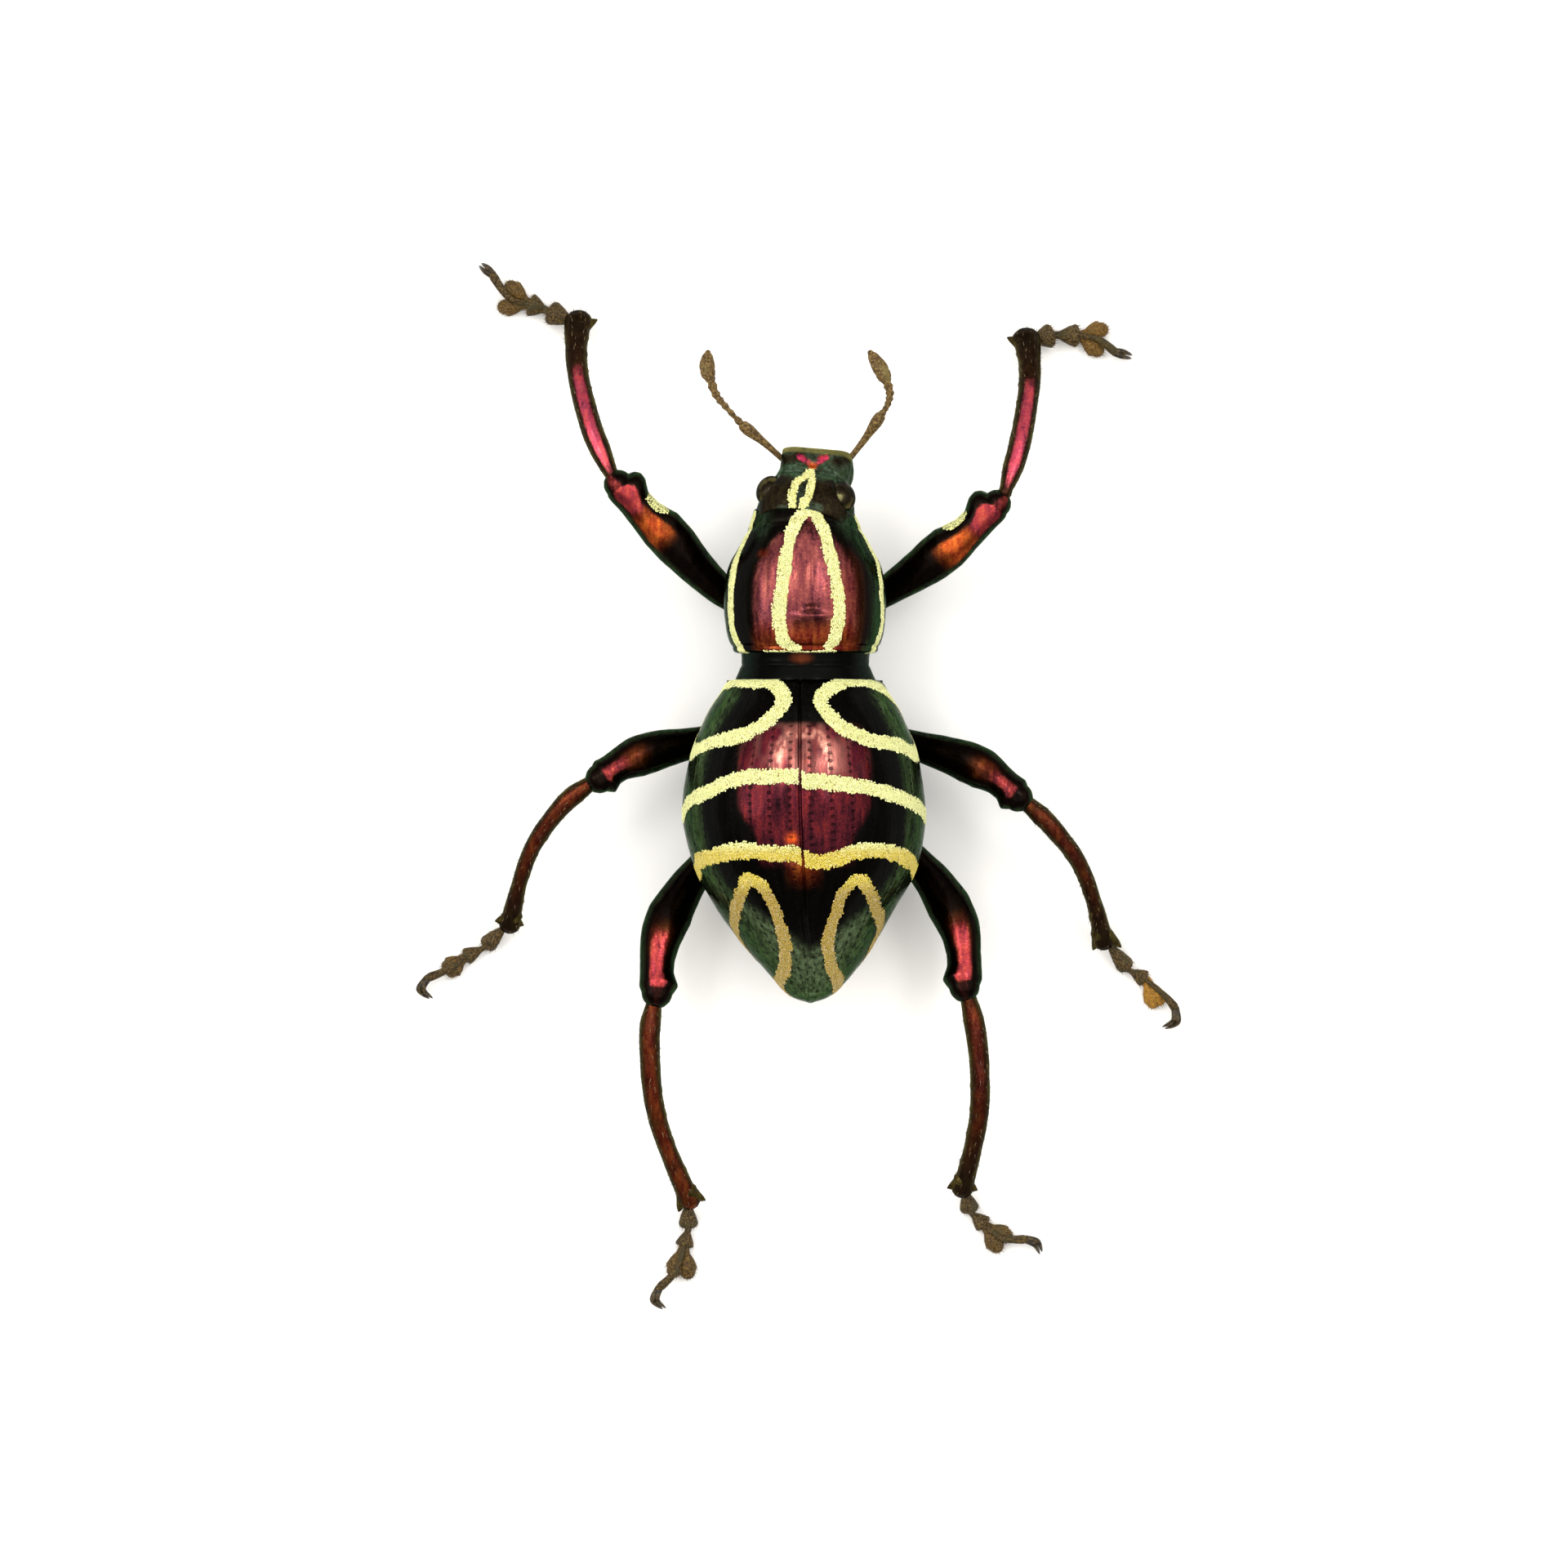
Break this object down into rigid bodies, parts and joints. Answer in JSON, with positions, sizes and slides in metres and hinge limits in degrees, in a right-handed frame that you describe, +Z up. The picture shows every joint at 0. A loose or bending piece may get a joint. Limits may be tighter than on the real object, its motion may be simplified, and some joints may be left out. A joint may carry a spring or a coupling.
{
  "type": "weevil",
  "caption": "Life-size still model of a metallic weevil with pale scale bands, set flat on its feet with legs and feelers spread, as in an insect collection.",
  "frame": {"origin": "on the floor, under the middle of the outline seen from above; the feet stand on z = 0", "axes": "+Y towards the head along the body's length, +Z up through the back, +X towards the animal's right side"},
  "size_m": [0.0222, 0.0308, 0.0073],
  "materials": {
    "elytra": "glossy dark wing cases with a metallic purple sheen and bands of pale scales",
    "pronotum": "glossy dark purple shield with stripes of pale scales",
    "head": "glossy green-black shell",
    "collar": "smooth black waist",
    "underside": "green-black plates of the underside",
    "eye": "black faceted eyes",
    "feeler": "brown hairy feelers",
    "leg": "dark red-brown legs with a metallic sheen",
    "foot": "grey-brown hairy feet"
  },
  "bodies": {
    "root": {"abdomen": "underside", "club_left": "feeler", "club_right": "feeler", "collar": "collar", "coxa_front_left": "leg", "coxa_front_right": "leg", "coxa_hind_left": "leg", "coxa_hind_right": "leg", "coxa_mid_left": "leg", "coxa_mid_right": "leg", "elytra": "elytra", "eye_left": "eye", "eye_right": "eye", "femur_front_left": "leg", "femur_front_right": "leg", "femur_hind_left": "leg", "femur_hind_right": "leg", "femur_mid_left": "leg", "femur_mid_right": "leg", "funicle_left": "feeler", "funicle_right": "feeler", "head": "head", "mesothorax": "underside", "metathorax": "underside", "pronotum": "pronotum", "rostrum": "head", "scape_left": "feeler", "scape_right": "feeler", "tarsus_front_left": "foot", "tarsus_front_right": "foot", "tarsus_hind_left": "foot", "tarsus_hind_right": "foot", "tarsus_mid_left": "foot", "tarsus_mid_right": "foot", "tibia_front_left": "leg", "tibia_front_right": "leg", "tibia_hind_left": "leg", "tibia_hind_right": "leg", "tibia_mid_left": "leg", "tibia_mid_right": "leg"}
  },
  "joints": []
}
